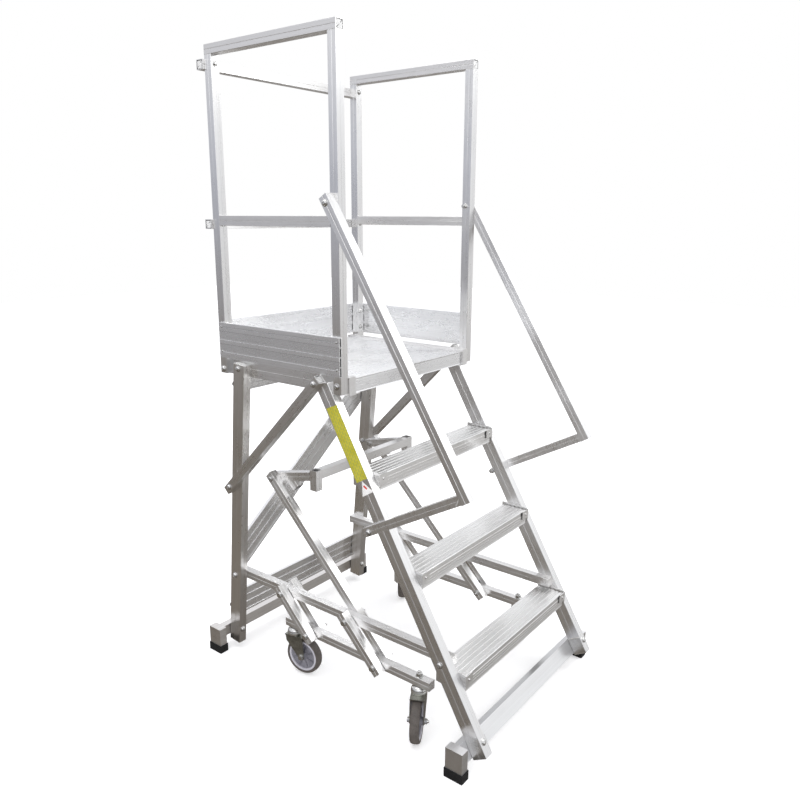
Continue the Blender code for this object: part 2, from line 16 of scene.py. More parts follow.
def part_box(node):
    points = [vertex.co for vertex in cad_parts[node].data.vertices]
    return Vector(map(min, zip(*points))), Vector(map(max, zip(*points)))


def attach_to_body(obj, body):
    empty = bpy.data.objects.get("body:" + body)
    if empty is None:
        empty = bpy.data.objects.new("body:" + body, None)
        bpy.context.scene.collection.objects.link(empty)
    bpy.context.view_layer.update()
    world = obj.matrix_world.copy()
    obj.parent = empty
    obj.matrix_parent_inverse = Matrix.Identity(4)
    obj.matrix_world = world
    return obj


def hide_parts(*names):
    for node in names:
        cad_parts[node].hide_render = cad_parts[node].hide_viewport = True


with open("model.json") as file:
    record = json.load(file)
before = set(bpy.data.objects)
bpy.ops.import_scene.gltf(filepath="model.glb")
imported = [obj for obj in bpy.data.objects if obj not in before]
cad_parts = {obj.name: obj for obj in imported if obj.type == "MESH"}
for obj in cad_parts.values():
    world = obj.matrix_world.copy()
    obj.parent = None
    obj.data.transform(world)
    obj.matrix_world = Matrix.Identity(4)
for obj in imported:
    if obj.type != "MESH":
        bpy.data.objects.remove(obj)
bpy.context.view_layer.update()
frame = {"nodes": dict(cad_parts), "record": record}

NODES = frame["nodes"]
JOINTS = {j["name"]: j for j in frame["record"]["behaviour"]["joints"]}
SIDES = {"left": -1, "right": 1}
ENDS = ("front", "rear")
X, Y, Z = Vector((1, 0, 0)), Vector((0, 1, 0)), Vector((0, 0, 1))

STAIR_PITCH = math.radians(59.68)
STAIR = Vector((0, math.cos(STAIR_PITCH), math.sin(STAIR_PITCH)))
STAIR_IN = Vector((0, math.sin(STAIR_PITCH), -math.cos(STAIR_PITCH)))
LEG_SPLAY = 0.0925
LEAN = Vector((0, -LEG_SPLAY, 1)).normalized()
LEG_BACK = Vector((0, 1, LEG_SPLAY)).normalized()

RISE = 0.305
STAIR_FOOT_Y = -0.7159      # front face of the stringer on the floor plane, before the shift
LEG_FOOT_Y = 0.5788         # rear face of the leg on the floor plane, before the shift
LEVER_PIVOT_Y = -0.067      # front upper pivot before the shift of the CAD's origin
FRAME_IN, FRAME_OUT = 0.3590, 0.3940
BRACE_OUT, HANDRAIL_OUT = 0.4263, 0.4293
LEVER_IN, LEVER_OUT, LINK_OUT, HANDLE_IN = 0.2945, 0.3262, 0.3925, 0.2622
WEB_DEPTH, WEB_OFFSET, WEB_SIZE = 0.0060, 0.0006, (0.0086 - 0.0008, 0.0052, 0.0110)


# ---------------------------------------------------------------- camera, floor and light
def build_camera():
    yaw, pitch, roll = math.radians(52.188), math.radians(13.876), math.radians(0.2186)
    ahead = Vector((math.sin(yaw) * math.cos(pitch), math.cos(yaw) * math.cos(pitch),
                    -math.sin(pitch)))
    right = Vector((math.cos(yaw), -math.sin(yaw), 0))
    up = right.cross(ahead)
    right, up = (right * math.cos(roll) + up * math.sin(roll),
                 up * math.cos(roll) - right * math.sin(roll))
    data = bpy.data.cameras.new("camera")
    data.lens, data.sensor_width = 33.4, 36.0
    camera = bpy.data.objects.new("camera", data)
    camera.matrix_world = Matrix.Translation((-2.1551, -1.6619, 1.7473)) @ Matrix(
        (right, up, -ahead)).transposed().to_4x4()
    bpy.context.scene.collection.objects.link(camera)
    bpy.context.scene.camera = camera


def build_world():
    """White studio: a bright right-hand side, a dimmer left-hand side and a darker ground."""
    world = bpy.data.worlds.new("studio")
    bpy.context.scene.world = world
    world.use_nodes = True
    tree = world.node_tree
    tree.nodes.clear()
    add, link = tree.nodes.new, tree.links.new
    coords, split = add("ShaderNodeTexCoord"), add("ShaderNodeSeparateXYZ")
    link(coords.outputs["Generated"], split.inputs[0])
    across = add("ShaderNodeVectorMath")
    across.operation = "DOT_PRODUCT"
    across.inputs[1].default_value = (0.79, -0.61, 0.0)
    link(coords.outputs["Generated"], across.inputs[0])
    turn = add("ShaderNodeMapRange")
    link(across.outputs["Value"], turn.inputs["Value"])
    turn.interpolation_type = "SMOOTHSTEP"
    turn.inputs["From Min"].default_value = -0.50
    turn.inputs["From Max"].default_value = 0.90
    height = add("ShaderNodeMapRange")
    height.inputs["From Min"].default_value = -1.0
    link(split.outputs["Z"], height.inputs["Value"])
    right = ramp(tree, height.outputs["Result"],
                 [(0.20, (0.16, 0.145, 0.13)), (0.35, (0.44, 0.425, 0.41)),
                  (0.45, (0.82, 0.82, 0.83)), (0.55, (0.92, 0.93, 0.95)),
                  (0.675, (1.12, 1.13, 1.15)), (0.90, (1.02, 1.03, 1.05))])
    left = ramp(tree, height.outputs["Result"],
                [(0.20, (0.17, 0.15, 0.13)), (0.28, (0.22, 0.195, 0.165)),
                 (0.355, (0.19, 0.17, 0.15)),
                 (0.40, (0.24, 0.22, 0.20)), (0.53, (0.50, 0.52, 0.59)), (0.60, (0.74, 0.75, 0.79)),
                 (0.65, (0.92, 0.92, 0.95))])
    ground = add("ShaderNodeMix")
    ground.data_type = "RGBA"
    link(turn.outputs["Result"], ground.inputs["Factor"])
    link(left, ground.inputs["A"])
    link(right, ground.inputs["B"])
    lit, plain, choose = (add("ShaderNodeBackground"), add("ShaderNodeBackground"),
                          add("ShaderNodeMixShader"))
    link(ground.outputs["Result"], lit.inputs["Color"])
    plain.inputs["Color"].default_value = (1, 1, 1, 1)
    path, out = add("ShaderNodeLightPath"), add("ShaderNodeOutputWorld")
    link(path.outputs["Is Camera Ray"], choose.inputs["Fac"])
    link(lit.outputs[0], choose.inputs[1])
    link(plain.outputs[0], choose.inputs[2])
    link(choose.outputs[0], out.inputs["Surface"])


def build_lights():
    for name, place, size, power in (("key", (2.6, -3.4, 4.2), 2.6, 60),
                                     ("top", (-0.4, 0.4, 5.6), 4.5, 120),
                                     ("fill", (-3.6, -2.2, 3.4), 3.0, 20)):
        data = bpy.data.lights.new(name, "AREA")
        data.shape, data.size, data.energy = "DISK", size, power
        lamp = bpy.data.objects.new(name, data)
        lamp.location = place
        lamp.rotation_euler = (Vector((0, 0, 0.9)) - Vector(place)).to_track_quat(
            "-Z", "Y").to_euler()
        bpy.context.scene.collection.objects.link(lamp)


def build_floor():
    work = bmesh.new()
    bmesh.ops.create_grid(work, x_segments=8, y_segments=8, size=14)
    floor = finish_mesh("studio_floor", work)
    tree, shader = shader_of("floor_white")
    shader.inputs["Base Color"].default_value = (0.93, 0.93, 0.93, 1)
    shader.inputs["Roughness"].default_value = 0.9
    shader.inputs["Emission Color"].default_value = (1, 1, 1, 1)
    shader.inputs["Emission Strength"].default_value = 0.35
    floor.data.materials.append(tree_material(tree))
    floor.visible_glossy = False


# ---------------------------------------------------------------- shader helpers
TREES = {}


def shader_of(name):
    material = bpy.data.materials.new(name)
    material.use_nodes = True
    tree = material.node_tree
    TREES[tree] = material
    return tree, tree.nodes["Principled BSDF"]


def tree_material(tree):
    return TREES[tree]


def ramp(tree, source, stops):
    node = tree.nodes.new("ShaderNodeValToRGB")
    band = node.color_ramp
    while len(band.elements) < len(stops):
        band.elements.new(1.0)
    for element, (place, value) in zip(band.elements, stops):
        element.position = place
        element.color = (*value, 1) if isinstance(value, tuple) else (value, value, value, 1)
    tree.links.new(source, node.inputs["Fac"])
    return node.outputs["Color"]


def spread(tree, source, low, high, near=0.0, far=1.0):
    node = tree.nodes.new("ShaderNodeMapRange")
    for name, value in (("From Min", near), ("From Max", far), ("To Min", low), ("To Max", high)):
        node.inputs[name].default_value = value
    tree.links.new(source, node.inputs["Value"])
    return node.outputs["Result"]


def scaled(tree, source, scale, rotation=(0, 0, 0), location=(0, 0, 0), kind="POINT"):
    node = tree.nodes.new("ShaderNodeMapping")
    node.vector_type = kind
    node.inputs["Location"].default_value = location
    node.inputs["Rotation"].default_value = rotation
    node.inputs["Scale"].default_value = scale
    tree.links.new(source, node.inputs["Vector"])
    return node.outputs["Vector"]


def noise(tree, vector, scale, detail=4.0, roughness=0.55, distortion=0.0):
    node = tree.nodes.new("ShaderNodeTexNoise")
    for name, value in (("Scale", scale), ("Detail", detail), ("Roughness", roughness),
                        ("Distortion", distortion)):
        node.inputs[name].default_value = value
    tree.links.new(vector, node.inputs["Vector"])
    return node.outputs["Fac"]


def blend(tree, factor, a, b, kind="MIX"):
    """Mix of two colours; factor, a and b are sockets or plain values."""
    node = tree.nodes.new("ShaderNodeMix")
    node.data_type, node.blend_type = "RGBA", kind
    for name, value in (("Factor", factor), ("A", a), ("B", b)):
        socket = next(s for s in node.inputs if s.name == name and s.enabled)
        if isinstance(value, (int, float)):
            socket.default_value = value
        elif isinstance(value, tuple):
            socket.default_value = (*value, 1)
        else:
            tree.links.new(value, socket)
    return next(s for s in node.outputs if s.name == "Result" and s.enabled)


def add_up(tree, *terms):
    """Weighted sum of sockets, each term being (socket, weight)."""
    total = None
    for source, weight in terms:
        node = tree.nodes.new("ShaderNodeMath")
        node.operation = "MULTIPLY_ADD"
        node.inputs[1].default_value = weight
        tree.links.new(source, node.inputs[0])
        if total is None:
            node.inputs[2].default_value = 0.0
        else:
            tree.links.new(total, node.inputs[2])
        total = node.outputs[0]
    return total


def bump(tree, shader, height, strength, distance):
    node = tree.nodes.new("ShaderNodeBump")
    node.inputs["Strength"].default_value = strength
    node.inputs["Distance"].default_value = distance
    tree.links.new(height, node.inputs["Height"])
    tree.links.new(node.outputs["Normal"], shader.inputs["Normal"])


# ---------------------------------------------------------------- materials
METALS = {
    # name: (dark tint, light tint, low roughness, high roughness, stretch of the highlight)
    "tube": ((0.78, 0.77, 0.755), (0.95, 0.95, 0.95), 0.24, 0.36, 0.85),
    "plank": ((0.88, 0.88, 0.885), (0.96, 0.965, 0.97), 0.25, 0.31, 0.85),
    "tread": ((0.86, 0.855, 0.845), (0.94, 0.94, 0.935), 0.27, 0.34, 0.85),
    "sheet": ((0.82, 0.82, 0.82), (0.91, 0.915, 0.92), 0.30, 0.38, 0.50),
    "bracket": ((0.50, 0.49, 0.475), (0.82, 0.82, 0.81), 0.26, 0.46, 0.40),
    "block": ((0.66, 0.635, 0.61), (0.90, 0.89, 0.88), 0.30, 0.46, 0.30),
}
made = {}


def drawn_metal(kind, direction):
    """Extruded aluminium: die lines run along the member, with handling marks over them, and painted
    shade in the grooves of ribbed planks and treads.
    """
    direction = Vector(direction).normalized()
    key = (kind, tuple(round(c, 3) for c in direction))
    if key in made:
        return made[key]
    dark, light, low, high, stretch = METALS[kind]
    tree, shader = shader_of("aluminium_%s_%02d" % (kind, len(made)))
    place = tree.nodes.new("ShaderNodeTexCoord").outputs["Object"]
    turned = scaled(tree, place, (1, 1, 1), direction.to_track_quat("X", "Z").to_euler(),
                    kind="TEXTURE")
    fine = noise(tree, scaled(tree, turned, (2.2, 900, 900)), 1.0, 3.0, 0.6)
    lines = noise(tree, scaled(tree, turned, (1.1, 210, 210), location=(3, 1, 2)), 1.0, 2.0)
    clouds = noise(tree, scaled(tree, turned, (5, 14, 14), location=(7, 5, 1)), 1.0, 4.0, 0.6, 0.4)
    smear = noise(tree, scaled(tree, turned, (22, 60, 60), location=(1, 9, 4)), 1.0, 5.0, 0.65, 0.8)
    nicks = noise(tree, scaled(tree, turned, (260, 420, 420), location=(4, 4, 8)),
                  1.0, 2.0, 0.5, 1.5)
    marks = ramp(tree, nicks, [(0.0, 0.0), (0.70, 0.0), (0.76, 1.0), (1.0, 1.0)])
    tone = add_up(tree, (fine, 0.30), (lines, 0.42), (clouds, 0.36), (smear, 0.22))
    tone = spread(tree, tone, 0.0, 1.0, 0.46, 0.84)
    colour = blend(tree, tone, dark, light)
    ribbed = kind in ("plank", "tread")
    colour = blend(tree, add_up(tree, (marks, 0.06 if ribbed else 0.25)), colour,
                   (0.52, 0.50, 0.48))
    if ribbed:
        # painted shade: where ambient occlusion finds close surfaces, in the grooves of ribbed planks
        # and treads, the colour is darkened towards dark grey
        groove = tree.nodes.new("ShaderNodeAmbientOcclusion")
        groove.samples, groove.only_local = 16, True
        groove.inputs["Distance"].default_value = 0.006
        painted_groove_shade = spread(tree, groove.outputs["AO"], 1.0, 0.0, 0.25, 0.75)
        colour = blend(tree, add_up(tree, (painted_groove_shade, 0.85)), colour, (0.16, 0.155, 0.15))
    tree.links.new(colour, shader.inputs["Base Color"])
    rough = add_up(tree, (clouds, 0.45), (smear, 0.35), (lines, 0.20), (marks, 0.25))
    tree.links.new(spread(tree, rough, low, high, 0.34, 0.70), shader.inputs["Roughness"])
    shader.inputs["Metallic"].default_value = 1.0
    shader.inputs["Anisotropic"].default_value = stretch
    shader.inputs["Anisotropic Rotation"].default_value = 0.25
    axis = tree.nodes.new("ShaderNodeCombineXYZ")
    for socket, value in zip(axis.inputs, direction):
        socket.default_value = value
    to_world = tree.nodes.new("ShaderNodeVectorTransform")
    to_world.vector_type, to_world.convert_from, to_world.convert_to = "VECTOR", "OBJECT", "WORLD"
    tree.links.new(axis.outputs[0], to_world.inputs[0])
    tree.links.new(to_world.outputs[0], shader.inputs["Tangent"])
    height = add_up(tree, (fine, 0.5), (lines, 0.6), (smear, 0.35), (marks, -0.6))
    bump(tree, shader, height, 0.02 if ribbed else 0.05, 0.0004)
    made[key] = tree_material(tree)
    return made[key]


def cast_material(name, dark, light, rough, grain, metallic=0.0, depth=0.0003, strength=0.4):
    """Mottled finish for plated steel, rubber and moulded plastic."""
    if name in made:
        return made[name]
    tree, shader = shader_of(name)
    place = tree.nodes.new("ShaderNodeTexCoord").outputs["Object"]
    broad = noise(tree, place, grain * 0.12, 4.0, 0.6, 0.5)
    close = noise(tree, place, grain, 5.0, 0.6)
    cells = tree.nodes.new("ShaderNodeTexVoronoi")
    cells.inputs["Scale"].default_value = grain * 0.7
    tree.links.new(place, cells.inputs["Vector"])
    tone = add_up(tree, (broad, 0.75), (close, 0.35), (cells.outputs["Distance"], 0.20))
    colour = blend(tree, spread(tree, tone, 0.0, 1.0, 0.42, 0.88), dark, light)
    tree.links.new(colour, shader.inputs["Base Color"])
    tree.links.new(spread(tree, add_up(tree, (broad, 0.6), (close, 0.4)),
                          rough[0], rough[1], 0.32, 0.68), shader.inputs["Roughness"])
    shader.inputs["Metallic"].default_value = metallic
    bump(tree, shader, add_up(tree, (close, 0.7), (cells.outputs["Distance"], 0.3)),
         strength, depth)
    made[name] = tree_material(tree)
    return made[name]


def zinc():
    return cast_material("zinc_plate", (0.50, 0.50, 0.47), (0.86, 0.86, 0.83), (0.20, 0.38), 260,
                         1.0, 0.0002, 0.15)


def bright_zinc():
    return cast_material("bright_zinc", (0.46, 0.46, 0.45), (0.84, 0.84, 0.83), (0.12, 0.26), 320,
                         1.0, 0.0001, 0.12)


def olive_zinc():
    return cast_material("olive_zinc", (0.22, 0.225, 0.20), (0.46, 0.46, 0.42), (0.26, 0.46), 240,
                         1.0, 0.0002, 0.20)


def rubber():
    return cast_material("foot_rubber", (0.002, 0.002, 0.002), (0.007, 0.007, 0.008),
                         (0.70, 0.92), 620, 0.0, 0.0004, 0.5)


def tyre_rubber():
    return cast_material("tyre_rubber", (0.058, 0.049, 0.043), (0.125, 0.109, 0.097),
                         (0.42, 0.64), 420, 0.0, 0.0003, 0.45)


def rim_plastic():
    return cast_material("rim_plastic", (0.40, 0.39, 0.43), (0.60, 0.59, 0.64), (0.34, 0.52),
                         300, 0.0, 0.0002, 0.3)


def hub_plastic():
    return cast_material("hub_plastic", (0.125, 0.122, 0.145), (0.25, 0.245, 0.275), (0.38, 0.58),
                         300, 0.0, 0.0002, 0.35)


def plug_plastic():
    return cast_material("plug_plastic", (0.56, 0.56, 0.55), (0.76, 0.76, 0.75), (0.42, 0.60), 360,
                         0.0, 0.0002, 0.3)


def weld_metal():
    return cast_material("weld_bead", (0.62, 0.60, 0.57), (0.90, 0.89, 0.87), (0.28, 0.48), 700,
                         1.0, 0.0003, 0.4)


def label_yellow(direction):
    """Plain yellow strip with rows of plain dashes, and no lettering."""
    tree, shader = shader_of("label_yellow")
    place = tree.nodes.new("ShaderNodeTexCoord").outputs["Object"]
    turned = scaled(tree, place, (1, 1, 1), Vector(direction).to_track_quat("X", "Z").to_euler(),
                    kind="TEXTURE")
    split = tree.nodes.new("ShaderNodeSeparateXYZ")
    tree.links.new(turned, split.inputs[0])
    merge = tree.nodes.new("ShaderNodeCombineXYZ")
    tree.links.new(split.outputs["X"], merge.inputs[0])
    tree.links.new(split.outputs["Z"], merge.inputs[1])
    bricks = tree.nodes.new("ShaderNodeTexBrick")
    for name, value in (("Scale", 1.0), ("Brick Width", 0.0170), ("Row Height", 0.0100),
                        ("Mortar Size", 0.0030), ("Mortar Smooth", 0.3), ("Bias", 0.0)):
        bricks.inputs[name].default_value = value
    tree.links.new(merge.outputs[0], bricks.inputs["Vector"])
    wear = noise(tree, place, 45, 5.0, 0.6, 0.6)
    base = blend(tree, spread(tree, wear, 0.0, 1.0, 0.35, 0.7), (0.42, 0.37, 0.012),
                 (0.50, 0.45, 0.030))
    ink = add_up(tree, (spread(tree, bricks.outputs["Fac"], 0.55, 0.0), 1.0))
    tree.links.new(blend(tree, ink, base, (0.20, 0.27, 0.07)), shader.inputs["Base Color"])
    tree.links.new(spread(tree, wear, 0.30, 0.46, 0.35, 0.7), shader.inputs["Roughness"])
    bump(tree, shader, wear, 0.2, 0.0002)
    return tree_material(tree)


def label_plain(name, dark, light):
    return cast_material(name, dark, light, (0.32, 0.46), 180, 0.0, 0.0001, 0.15)


# ---------------------------------------------------------------- mesh helpers
def finish_mesh(name, work, sharp=35):
    bmesh.ops.remove_doubles(work, verts=work.verts, dist=1e-7)
    bmesh.ops.recalc_face_normals(work, faces=work.faces)
    mesh = bpy.data.meshes.new(name)
    work.to_mesh(mesh)
    work.free()
    mesh.shade_smooth()
    mesh.set_sharp_from_angle(angle=math.radians(sharp))
    ob = bpy.data.objects.new(name, mesh)
    bpy.context.scene.collection.objects.link(ob)
    return ob


def attach(ob, body, material):
    ob.data.materials.append(material)
    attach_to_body(ob, body)
    return ob


def basis(axis, up=None):
    """Rotation whose third column is the axis, and whose second leans towards up."""
    axis = Vector(axis).normalized()
    up = Vector(up) if up is not None else axis.orthogonal()
    up = (up - axis * up.dot(axis)).normalized()
    return Matrix((up.cross(axis), up, axis)).transposed()


def loft(work, rings, closed_start=True, closed_end=True):
    """Skin through rings of equally many points."""
    rows = [[work.verts.new(p) for p in ring] for ring in rings]
    count = len(rows[0])
    for near, far in zip(rows, rows[1:]):
        for i in range(count):
            j = (i + 1) % count
            work.faces.new((near[i], near[j], far[j], far[i]))
    if closed_start:
        work.faces.new(rows[0])
    if closed_end:
        work.faces.new(list(reversed(rows[-1])))


def round_ring(turn, centre, radius, height, segments, sides=0):
    """Ring about the axis of turn; sides gives a polygon, such as 6 for a hexagon."""
    points = []
    for i in range(segments):
        a = 2 * math.pi * i / segments
        r = radius
        if sides:
            wedge = math.pi / sides
            r = radius * math.cos(wedge) / math.cos((a % (2 * wedge)) - wedge)
        points.append(centre + turn @ Vector((r * math.cos(a), r * math.sin(a), height)))
    return points


def lathe(work, turn, centre, profile, segments=32, sides=0):
    loft(work, [round_ring(turn, centre, r, h, segments, sides) for r, h in profile])


def bar(work, turn, centre, size, bevel=0.0008):
    """Block with broken edges; size is along the three columns of turn."""
    corners = []
    half = Vector(size) / 2
    for h, inset in ((-half.z, bevel), (-half.z + bevel, 0), (half.z - bevel, 0),
                     (half.z, bevel)):
        ring = []
        for sx, sy in ((1, 1), (-1, 1), (-1, -1), (1, -1)):
            x, y = sx * (half.x - inset), sy * (half.y - inset)
            first = (x - sx * bevel, y) if sx == sy else (x, y - sy * bevel)
            second = (x, y - sy * bevel) if sx == sy else (x - sx * bevel, y)
            ring += [first, second]
        corners.append([centre + turn @ Vector((x, y, h)) for x, y in ring])
    loft(work, corners)


def end_of(node, direction):
    """Middle of the end face of a straight CAD member, on the side the direction points to."""
    direction = Vector(direction).normalized()
    points = [v.co for v in NODES[node].data.vertices]
    reach = max(p.dot(direction) for p in points)
    last = [p for p in points if reach - p.dot(direction) < 2e-4]
    low = Vector([min(p[i] for p in last) for i in range(3)])
    high = Vector([max(p[i] for p in last) for i in range(3)])
    return (low + high) / 2


# ---------------------------------------------------------------- fasteners
def bolt(name, place, axis, body, kind="dome", size=1.5, turn_by=0.0):
    """Bolt end on a surface at place, pointing along axis: washer, then a head or a nut."""
    work = bmesh.new()
    turn = basis(axis) @ Matrix.Rotation(turn_by, 3, "Z")
    place = Vector(place)
    s = size
    lathe(work, turn, place, [(0.0076 * s, -0.0004), (0.0080 * s, 0.0002), (0.0080 * s, 0.0010),
                              (0.0076 * s, 0.0014)], 28)
    base = 0.0013
    if kind == "dome":
        lathe(work, turn, place, [(0.0062 * s, base), (0.0064 * s, base + 0.0008 * s),
                                  (0.0060 * s, base + 0.0022 * s), (0.0050 * s, base + 0.0034 * s),
                                  (0.0034 * s, base + 0.0041 * s), (0.0026 * s, base + 0.0042 * s),
                                  (0.0022 * s, base + 0.0030 * s)], 28)
    else:
        high = 0.0050 * s if kind == "hex" else 0.0062 * s
        loft(work, [round_ring(turn, place, r, base + h, 24, sides) for r, h, sides in
                    ((0.0068 * s, 0, 6), (0.0072 * s, 0.0003, 6), (0.0072 * s, high * 0.80, 6),
                     (0.0062 * s, high, 0), (0.0046 * s, high + 0.0001, 0))])
        if kind == "nut":
            lathe(work, turn, place, [(0.0037 * s, base + high - 0.001), (0.0037 * s, base + high
                  + 0.0032 * s), (0.0030 * s, base + high + 0.0040 * s)], 16)
    ob = finish_mesh("bolt_" + name, work)
    return attach(ob, body, bright_zinc())


def bead(name, start, end, body, radius=0.0016):
    """Rippled weld bead along a joint."""
    start, end = Vector(start), Vector(end)
    run = end - start
    turn = basis(run)
    ripples = max(4, round(run.length / 0.0021))
    steps = ripples * 4
    rings = []
    for i in range(steps + 1):
        along = i / steps
        swell = 0.80 + 0.22 * abs(math.sin(math.pi * along * ripples))
        taper = min(1.0, 0.35 + 9 * min(along, 1 - along))
        rings.append(round_ring(turn, start + run * along, radius * swell * taper, 0, 8))
    work = bmesh.new()
    loft(work, rings)
    return attach(finish_mesh("weld_" + name, work, 60), body, weld_metal())


def plug(name, node, direction, up, width, depth, body, wall=0.0022, sunk=0.0004):
    """Moulded plug pushed flush into the open end of a CAD tube."""
    direction = Vector(direction).normalized()
    centre = end_of(node, direction)
    work = bmesh.new()
    turn = basis(direction, up)
    thick = 0.0060
    bar(work, turn, centre - direction * (sunk + thick / 2),
        (width - 2 * wall - 0.0002, depth - 2 * wall - 0.0002, thick), 0.0012)
    lathe(work, turn, centre - direction * (sunk + 0.0002),
          [(0.0052, -0.001), (0.0050, 0.0004), (0.0042, 0.0008)], 20)
    return attach(finish_mesh("plug_" + name, work), body, plug_plastic())


# ---------------------------------------------------------------- finishes of the CAD nodes
def finish_nodes():
    diagonal = Vector((0.394 + 0.352, 0, 0.949 - 0.312))
    diagonal = (diagonal + Vector((0, -LEG_SPLAY * diagonal.z, 0))).normalized()
    brace = Vector((0, 0.0243 - 0.4888, 1.2031 - 0.7326))
    lift = Vector((0, 1, 1))
    rules = (
        ("deck_plank", "plank", X), ("toe_board_rear", "plank", X), ("toe_board", "plank", Y),
        ("tread", "tread", X), ("rear_board", "plank", X), ("rear_diagonal", "plank", diagonal),
        ("side_beam", "tube", Y), ("post", "tube", Z), ("top_rail", "tube", Y),
        ("mid_rail", "tube", Y), ("rear_top_rail", "tube", X), ("rear_mid_rail", "tube", X),
        ("handrail", "tube", Vector((0, -0.5525, -0.8790))), ("stringer", "tube", STAIR),
        ("front_foot_beam", "sheet", X), ("rear_foot_beam", "block", X),
        ("rear_leg", "tube", LEAN), ("side_brace", "tube", brace), ("base_rail", "tube", Y),
        ("castor_rail", "tube", Y), ("long_lever", "tube", lift), ("inner_link", "tube", lift),
        ("outer_link", "tube", lift), ("lever_handle", "tube", X),
    )
    for name, ob in NODES.items():
        found = [m for start, kind, way in rules if name.startswith(start)
                 for m in (drawn_metal(kind, way),)]
        if found:
            paint = found[0]
        elif name.startswith("castor_fork"):
            paint = olive_zinc()
        elif name.startswith("rubber_foot"):
            paint = rubber()
        else:
            paint = tyre_rubber()
        for place in ob.material_slots:
            place.material = paint
        if name.startswith(("castor_fork", "rubber_foot")):
            edge = ob.modifiers.new("edge", "BEVEL")
            edge.width, edge.segments = 0.0007, 2
            edge.limit_method, edge.angle_limit = "ANGLE", math.radians(50)


# ---------------------------------------------------------------- details on the frame
def build_frame_bolts():
    shift = Vector(JOINTS["castor_lift"]["pos_m"]).y - LEVER_PIVOT_Y
    hole = {
        "post_rear": (0.5230, 1.1890), "post_front": (-0.0530, 1.2000),
        "leg_top": (0.4415, 1.1980), "leg_low": (0.5230, 0.3370),
        "base_rail": (-0.4847, 0.3370),
    }
    outside = {
        "brace_low": (0.4888, 0.7326, BRACE_OUT), "brace_top": (0.0243, 1.2031, BRACE_OUT),
        "strut": (-0.2134, 0.7363, BRACE_OUT), "handrail_top": (-0.0490, 1.7880, HANDRAIL_OUT),
    }
    for name, s in SIDES.items():
        for key, (y, z) in hole.items():
            bolt(key + "_" + name, (s * FRAME_OUT, y + shift, z), X * s, "frame", "dome")
            bolt(key + "_nut_" + name, (s * FRAME_IN if key in ("leg_low", "base_rail") else
                 s * 0.3592, y + shift, z), X * -s, "frame", "hex", 1.35)
        for key, (y, z, x) in outside.items():
            bolt(key + "_" + name, (s * x, y + shift, z), X * s, "frame", "dome")
            if key != "brace_top":
                bolt(key + "_nut_" + name, (s * FRAME_IN, y + shift, z), X * -s, "frame", "nut", 1.35)
        for key, z in (("rear_top_rail", 2.2541), ("rear_mid_rail", 1.7185)):
            bolt(key + "_" + name, (s * 0.3765, 0.5040 + shift, z), -Y, "frame", "dome", 1.3)
        near, far = (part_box("toe_board_" + name)[i][1] for i in (0, 1))
        for post, y in (("front", near + 0.0120), ("rear", far - 0.0120)):
            for level, z in (("high", 1.3505), ("low", 1.2590)):
                bolt("toe_board_%s_%s_%s" % (post, level, name), (s * 0.4058, y, z),
                     X * s, "frame", "dome", 0.62)
        for level, z in (("high", 1.3350), ("low", 1.2650)):
            bolt("toe_board_rear_%s_%s" % (level, name), (s * 0.3700, 0.5040 + shift, z), -Y,
                 "frame", "nut", 1.2)
        front = Vector((s * 0.3765, STAIR_FOOT_Y + 0.1180 / math.tan(STAIR_PITCH) + shift, 0.1180))
        bolt("stringer_foot_" + name, front, -STAIR_IN, "frame", "dome")
        rear = Vector((s * 0.3765, LEG_FOOT_Y - LEG_SPLAY * 0.0900 + shift - 0.0582, 0.0900))
        bolt("leg_foot_" + name, rear, -LEG_BACK, "frame", "dome")
        for key, z in (("rear_board_low", 0.181), ("rear_board_top", 1.132)):
            back = Vector((s * 0.3765, LEG_FOOT_Y - LEG_SPLAY * z + shift, z)) + LEG_BACK * 0.0145
            bolt(key + "_" + name, back, LEG_BACK, "frame", "dome", 1.2)
    for name, x, z in (("left", -0.352 + 0.050, 0.312 + 0.100), ("right", 0.345, 0.949 + 0.030)):
        back = Vector((x, LEG_FOOT_Y - LEG_SPLAY * z + shift, z)) + LEG_BACK * 0.0145
        bolt("rear_diagonal_" + name, back, LEG_BACK, "frame", "dome", 1.2)
    return shift


def build_tread_details(shift):
    """Bracket bolts, weld beads and the saw-toothed end seen in front of each stringer."""
    for level, steps in (("lower", 1), ("middle", 2), ("upper", 3)):
        top = RISE * steps
        nose = STAIR_FOOT_Y + top / math.tan(STAIR_PITCH) - 0.022 + shift
        for name, s in SIDES.items():
            tag = level + "_" + name
            bolt("tread_flange_" + tag, (s * 0.3400, nose - 0.0055, top - 0.015), -Y, "frame",
                 "dome", 0.55)
            bolt("tread_rear_" + tag, (s * 0.3552, nose + 0.100, top + 0.0010), X * -s, "frame",
                 "hex", 0.62)
            bolt("tread_cheek_" + tag, (s * 0.3552, nose + 0.052, top - 0.062), X * -s, "frame",
                 "nut", 0.62)
            work = bmesh.new()
            for i in range(11):
                z = top - 0.0040 - 0.0037 * i
                stair_y = STAIR_FOOT_Y + z / math.tan(STAIR_PITCH) + shift
                length = stair_y - 0.0012 - (nose - 0.0050)
                if length < 0.004:
                    continue
                middle = Vector((s * 0.3591, nose - 0.0050 + length / 2, z))
                bar(work, basis(Y, Z), middle, (0.0016, 0.0019, length), 0.0004)
            teeth = finish_mesh("tread_end_ridges_" + tag, work)
            attach(teeth, "frame", drawn_metal("bracket", Y))
            bead("tread_" + tag, (s * 0.3548, nose + 0.010, top - 0.0555),
                 (s * 0.3548, nose + 0.096, top - 0.0555), "frame", 0.0017)


